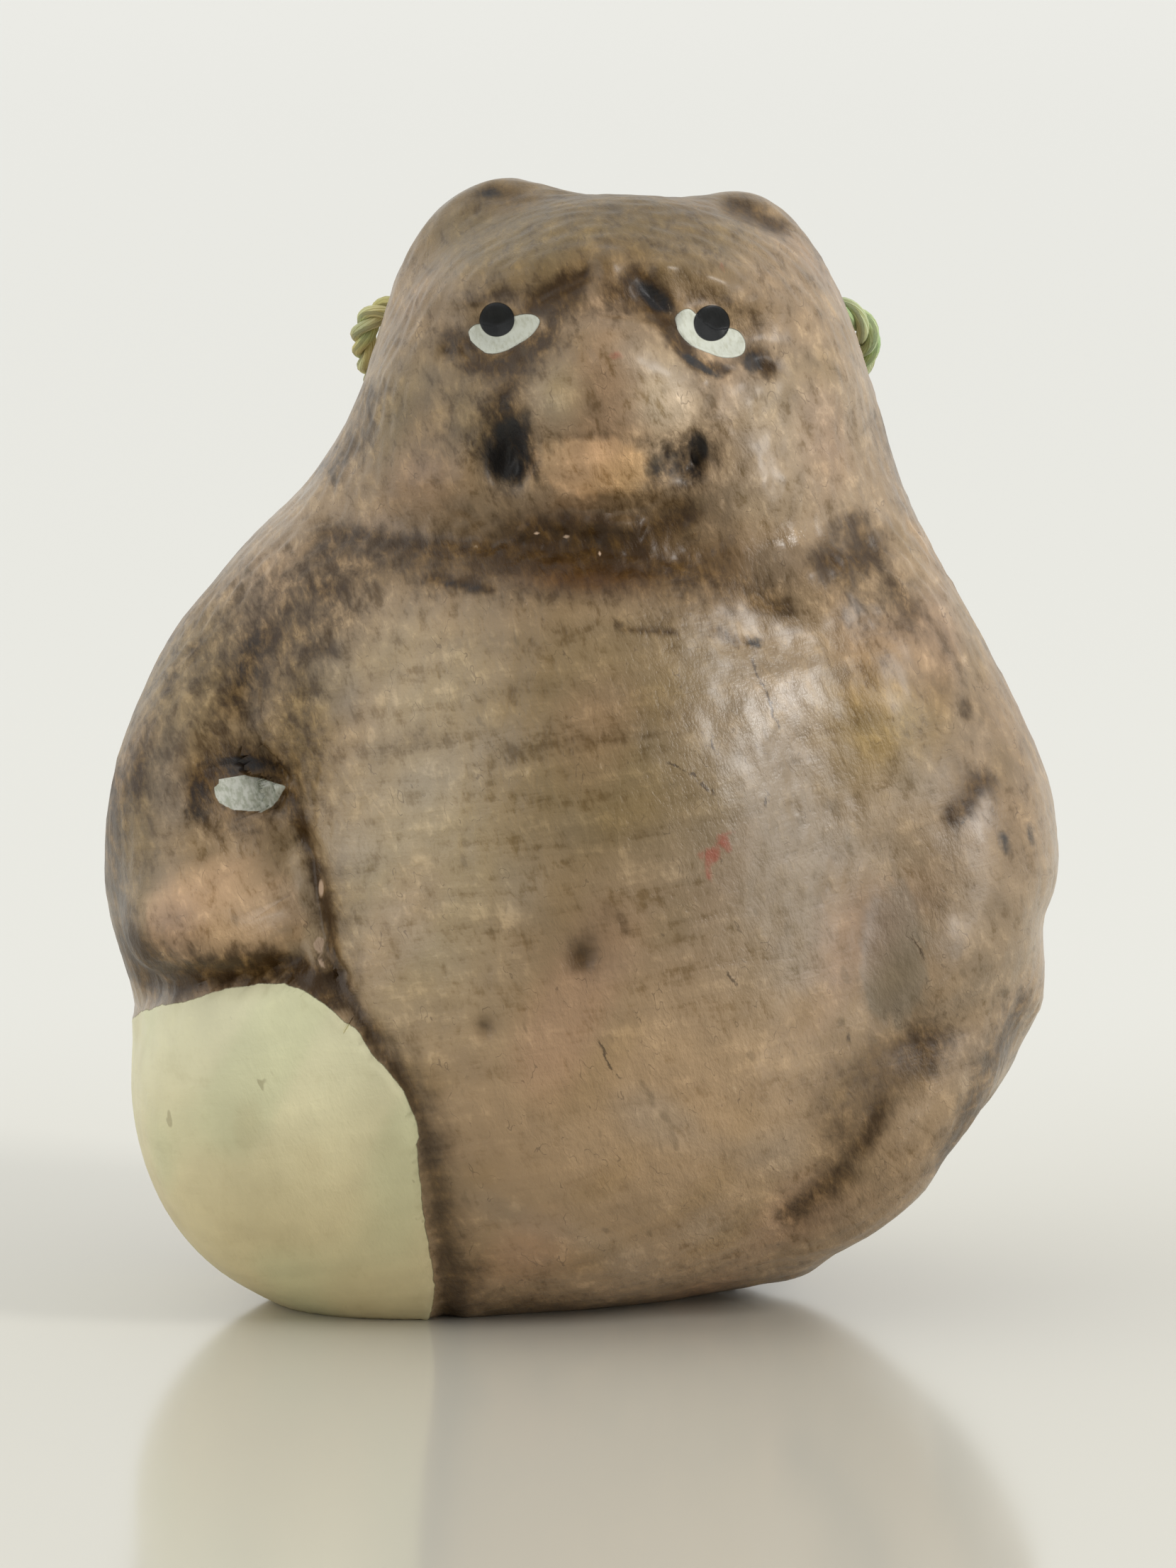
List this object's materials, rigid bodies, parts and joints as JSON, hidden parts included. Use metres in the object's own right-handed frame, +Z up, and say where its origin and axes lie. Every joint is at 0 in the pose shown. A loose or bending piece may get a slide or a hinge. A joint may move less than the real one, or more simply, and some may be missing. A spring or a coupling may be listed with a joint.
{
  "type": "clay bell amulet",
  "caption": "Hollow clay bell shaped as a round seated raccoon dog holding a sake flask, slit underneath, with a thin twisted hanging cord threaded through its head.",
  "frame": {"origin": "middle of the bell's underside, on the surface it stands on, found from the clay body alone", "axes": "+Z up, the figure's front looks along -Y, +X to a viewer's right"},
  "size_m": [0.0535, 0.0557, 0.0628],
  "materials": {
    "painted_clay": "fired clay, painted and stained brown, semi-gloss lacquer",
    "twisted_thread": "twisted thread, yellow turning to green"
  },
  "bodies": {
    "root": {"bell_body": "painted_clay", "hanging_cord": "twisted_thread", "cord_knot": "twisted_thread"}
  },
  "joints": []
}
